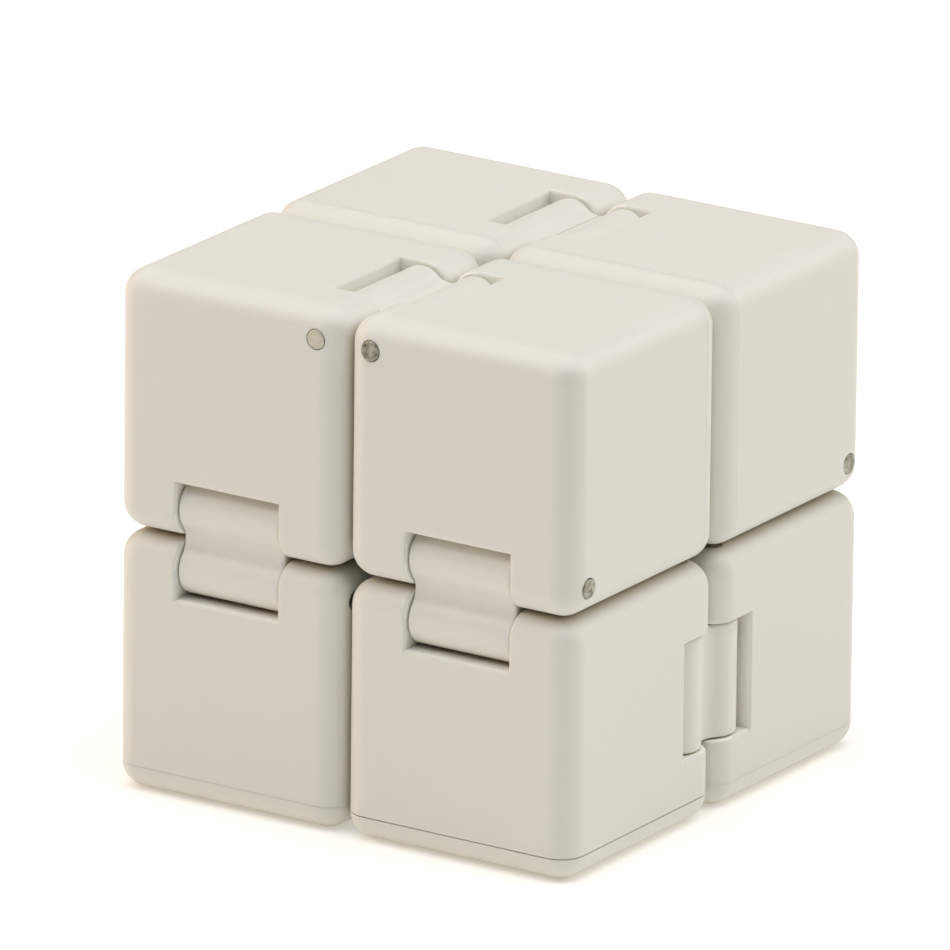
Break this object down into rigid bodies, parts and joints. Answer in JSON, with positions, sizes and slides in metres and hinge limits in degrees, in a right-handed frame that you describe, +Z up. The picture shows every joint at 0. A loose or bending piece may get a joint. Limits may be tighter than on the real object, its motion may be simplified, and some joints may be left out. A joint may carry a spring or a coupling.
{
  "type": "folding fidget cube",
  "caption": "Desk fidget cube of hollow plastic cubelets joined in a ring by double-pin hinge links, so that it folds open into bars and panels and folds back into a cube without end.",
  "frame": {"origin": "centre of the closed cube's underside, on the surface it stands on", "axes": "+Z up, -Y the front (the left one of the two side faces in the reference view), +X the right side (the other one)"},
  "size_m": [0.04, 0.04, 0.04],
  "materials": {
    "shell": "satin ivory moulded plastic",
    "lid": "satin ivory moulded plastic",
    "link": "smooth ivory moulded plastic, slightly glossier than the shells",
    "pin": "sheared steel wire end, dull"
  },
  "bodies": {
    "cubelet_bottom_front_right": {"shell_bottom_front_right": "shell", "lid_bottom_front_right": "lid", "pin_front_right_lower": "pin", "pin_right_front": "pin"},
    "cubelet_bottom_front_left": {"shell_bottom_front_left": "shell", "lid_bottom_front_left": "lid", "pin_front_left_lower": "pin", "pin_left_front": "pin"},
    "cubelet_bottom_back_right": {"shell_bottom_back_right": "shell", "lid_bottom_back_right": "lid", "pin_back_right_lower": "pin", "pin_right_back": "pin"},
    "cubelet_bottom_back_left": {"shell_bottom_back_left": "shell", "lid_bottom_back_left": "lid", "pin_back_left_lower": "pin", "pin_left_back": "pin"},
    "cubelet_top_front_right": {"shell_top_front_right": "shell", "lid_top_front_right": "lid", "pin_front_right_upper": "pin", "pin_top_front_right": "pin"},
    "cubelet_top_front_left": {"shell_top_front_left": "shell", "lid_top_front_left": "lid", "pin_front_left_upper": "pin", "pin_top_front_left": "pin"},
    "cubelet_top_back_right": {"shell_top_back_right": "shell", "lid_top_back_right": "lid", "pin_back_right_upper": "pin", "pin_top_back_right": "pin"},
    "cubelet_top_back_left": {"shell_top_back_left": "shell", "lid_top_back_left": "lid", "pin_back_left_upper": "pin", "pin_top_back_left": "pin"},
    "link_front_right": {"link_front_right": "link"},
    "link_front_left": {"link_front_left": "link"},
    "link_back_right": {"link_back_right": "link"},
    "link_back_left": {"link_back_left": "link"},
    "link_right": {"link_right": "link"},
    "link_left": {"link_left": "link"},
    "link_top_front": {"link_top_front": "link"},
    "link_top_back_right_half": {"link_top_back_right_half": "link"},
    "link_top_back_left_half": {"link_top_back_left_half": "link"}
  },
  "joints": [
    {"name": "right_fold", "type": "hinge", "parent": "cubelet_bottom_front_right", "child": "link_front_right", "pos_m": [0.01006, -0.01775, 0.01763], "axis": [1, 0, 0], "range_deg": [0, 90]},
    {"name": "right_fold_front_upper", "type": "hinge", "parent": "link_front_right", "child": "cubelet_top_front_right", "pos_m": [0.01006, -0.01775, 0.02237], "axis": [1, 0, 0], "range_deg": [0, 90]},
    {"name": "top_fold", "type": "hinge", "parent": "cubelet_top_front_right", "child": "link_top_front", "pos_m": [0.00237, -0.01006, 0.03775], "axis": [0, 1, 0], "range_deg": [0, 90]},
    {"name": "top_fold_front_left", "type": "hinge", "parent": "link_top_front", "child": "cubelet_top_front_left", "pos_m": [-0.00237, -0.01006, 0.03775], "axis": [0, 1, 0], "range_deg": [0, 90]},
    {"name": "left_fold", "type": "hinge", "parent": "cubelet_top_front_left", "child": "link_front_left", "pos_m": [-0.01006, -0.01775, 0.02237], "axis": [-1, 0, 0], "range_deg": [0, 90]},
    {"name": "left_fold_front_lower", "type": "hinge", "parent": "link_front_left", "child": "cubelet_bottom_front_left", "pos_m": [-0.01006, -0.01775, 0.01763], "axis": [-1, 0, 0], "range_deg": [0, 90]},
    {"name": "side_fold", "type": "hinge", "parent": "cubelet_bottom_front_right", "child": "link_right", "pos_m": [0.01775, -0.00237, 0.00994], "axis": [0, 0, -1], "range_deg": [0, 90]},
    {"name": "side_fold_right_back", "type": "hinge", "parent": "link_right", "child": "cubelet_bottom_back_right", "pos_m": [0.01775, 0.00237, 0.00994], "axis": [0, 0, -1], "range_deg": [0, 90]},
    {"name": "side_fold_left_front", "type": "hinge", "parent": "cubelet_bottom_front_left", "child": "link_left", "pos_m": [-0.01775, -0.00237, 0.00994], "axis": [0, 0, 1], "range_deg": [0, 90]},
    {"name": "side_fold_left_back", "type": "hinge", "parent": "link_left", "child": "cubelet_bottom_back_left", "pos_m": [-0.01775, 0.00237, 0.00994], "axis": [0, 0, 1], "range_deg": [0, 90]},
    {"name": "right_fold_back_lower", "type": "hinge", "parent": "cubelet_bottom_back_right", "child": "link_back_right", "pos_m": [0.01006, 0.01775, 0.01763], "axis": [-1, 0, 0], "range_deg": [0, 90]},
    {"name": "right_fold_back_upper", "type": "hinge", "parent": "link_back_right", "child": "cubelet_top_back_right", "pos_m": [0.01006, 0.01775, 0.02237], "axis": [-1, 0, 0], "range_deg": [0, 90]},
    {"name": "left_fold_back_lower", "type": "hinge", "parent": "cubelet_bottom_back_left", "child": "link_back_left", "pos_m": [-0.01006, 0.01775, 0.01763], "axis": [-1, 0, 0], "range_deg": [0, 90]},
    {"name": "left_fold_back_upper", "type": "hinge", "parent": "link_back_left", "child": "cubelet_top_back_left", "pos_m": [-0.01006, 0.01775, 0.02237], "axis": [-1, 0, 0], "range_deg": [0, 90]},
    {"name": "top_fold_back_right", "type": "hinge", "parent": "cubelet_top_back_right", "child": "link_top_back_right_half", "pos_m": [0.00237, 0.01006, 0.03775], "axis": [0, 1, 0], "range_deg": [0, 90]},
    {"name": "top_fold_back_left", "type": "hinge", "parent": "cubelet_top_back_left", "child": "link_top_back_left_half", "pos_m": [-0.00237, 0.01006, 0.03775], "axis": [0, -1, 0], "range_deg": [0, 90]}
  ],
  "couplings": [
    {"joint": "right_fold_front_upper", "follows": "right_fold", "ratio": 1},
    {"joint": "right_fold_back_lower", "follows": "right_fold", "ratio": 1},
    {"joint": "right_fold_back_upper", "follows": "right_fold", "ratio": 1},
    {"joint": "top_fold_front_left", "follows": "top_fold", "ratio": 1},
    {"joint": "top_fold_back_right", "follows": "top_fold", "ratio": 1},
    {"joint": "top_fold_back_left", "follows": "top_fold", "ratio": 1},
    {"joint": "left_fold_front_lower", "follows": "left_fold", "ratio": 1},
    {"joint": "left_fold_back_lower", "follows": "left_fold", "ratio": 1},
    {"joint": "left_fold_back_upper", "follows": "left_fold", "ratio": 1},
    {"joint": "side_fold_right_back", "follows": "side_fold", "ratio": 1},
    {"joint": "side_fold_left_front", "follows": "side_fold", "ratio": 1},
    {"joint": "side_fold_left_back", "follows": "side_fold", "ratio": 1}
  ]
}
